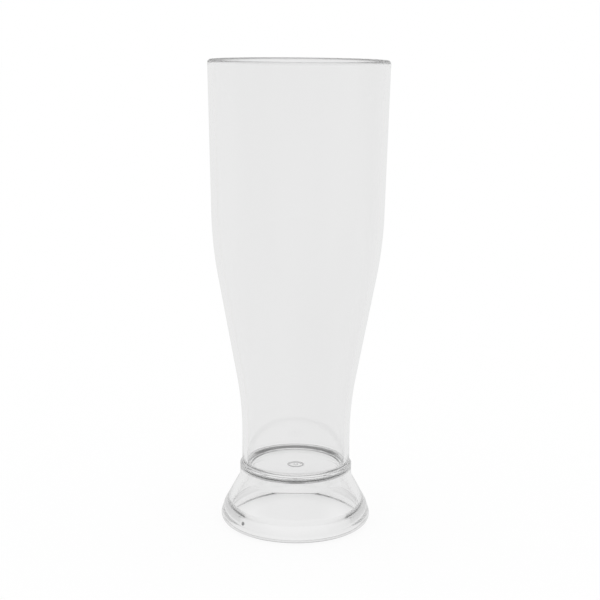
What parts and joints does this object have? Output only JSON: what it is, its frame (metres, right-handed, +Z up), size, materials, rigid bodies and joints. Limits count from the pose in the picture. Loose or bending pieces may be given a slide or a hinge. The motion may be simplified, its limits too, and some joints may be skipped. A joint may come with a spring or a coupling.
{
  "type": "footed tumbler",
  "caption": "Tall clear plastic pilsner-style tumbler with a straight upper wall, long taper, narrow neck and hollow flared foot, for cold drinks.",
  "frame": {"origin": "centre of the standing ring, on the surface that the tumbler stands on", "axes": "+Z up along the axis of the tumbler, from the foot to the rim; +X and +Y are any two directions across it"},
  "size_m": [0.076, 0.076, 0.2],
  "materials": {
    "clear_plastic_cup": "clear, polished",
    "clear_plastic_foot": "clear, polished"
  },
  "bodies": {
    "root": {"cup": "clear_plastic_cup", "foot": "clear_plastic_foot"}
  },
  "joints": []
}
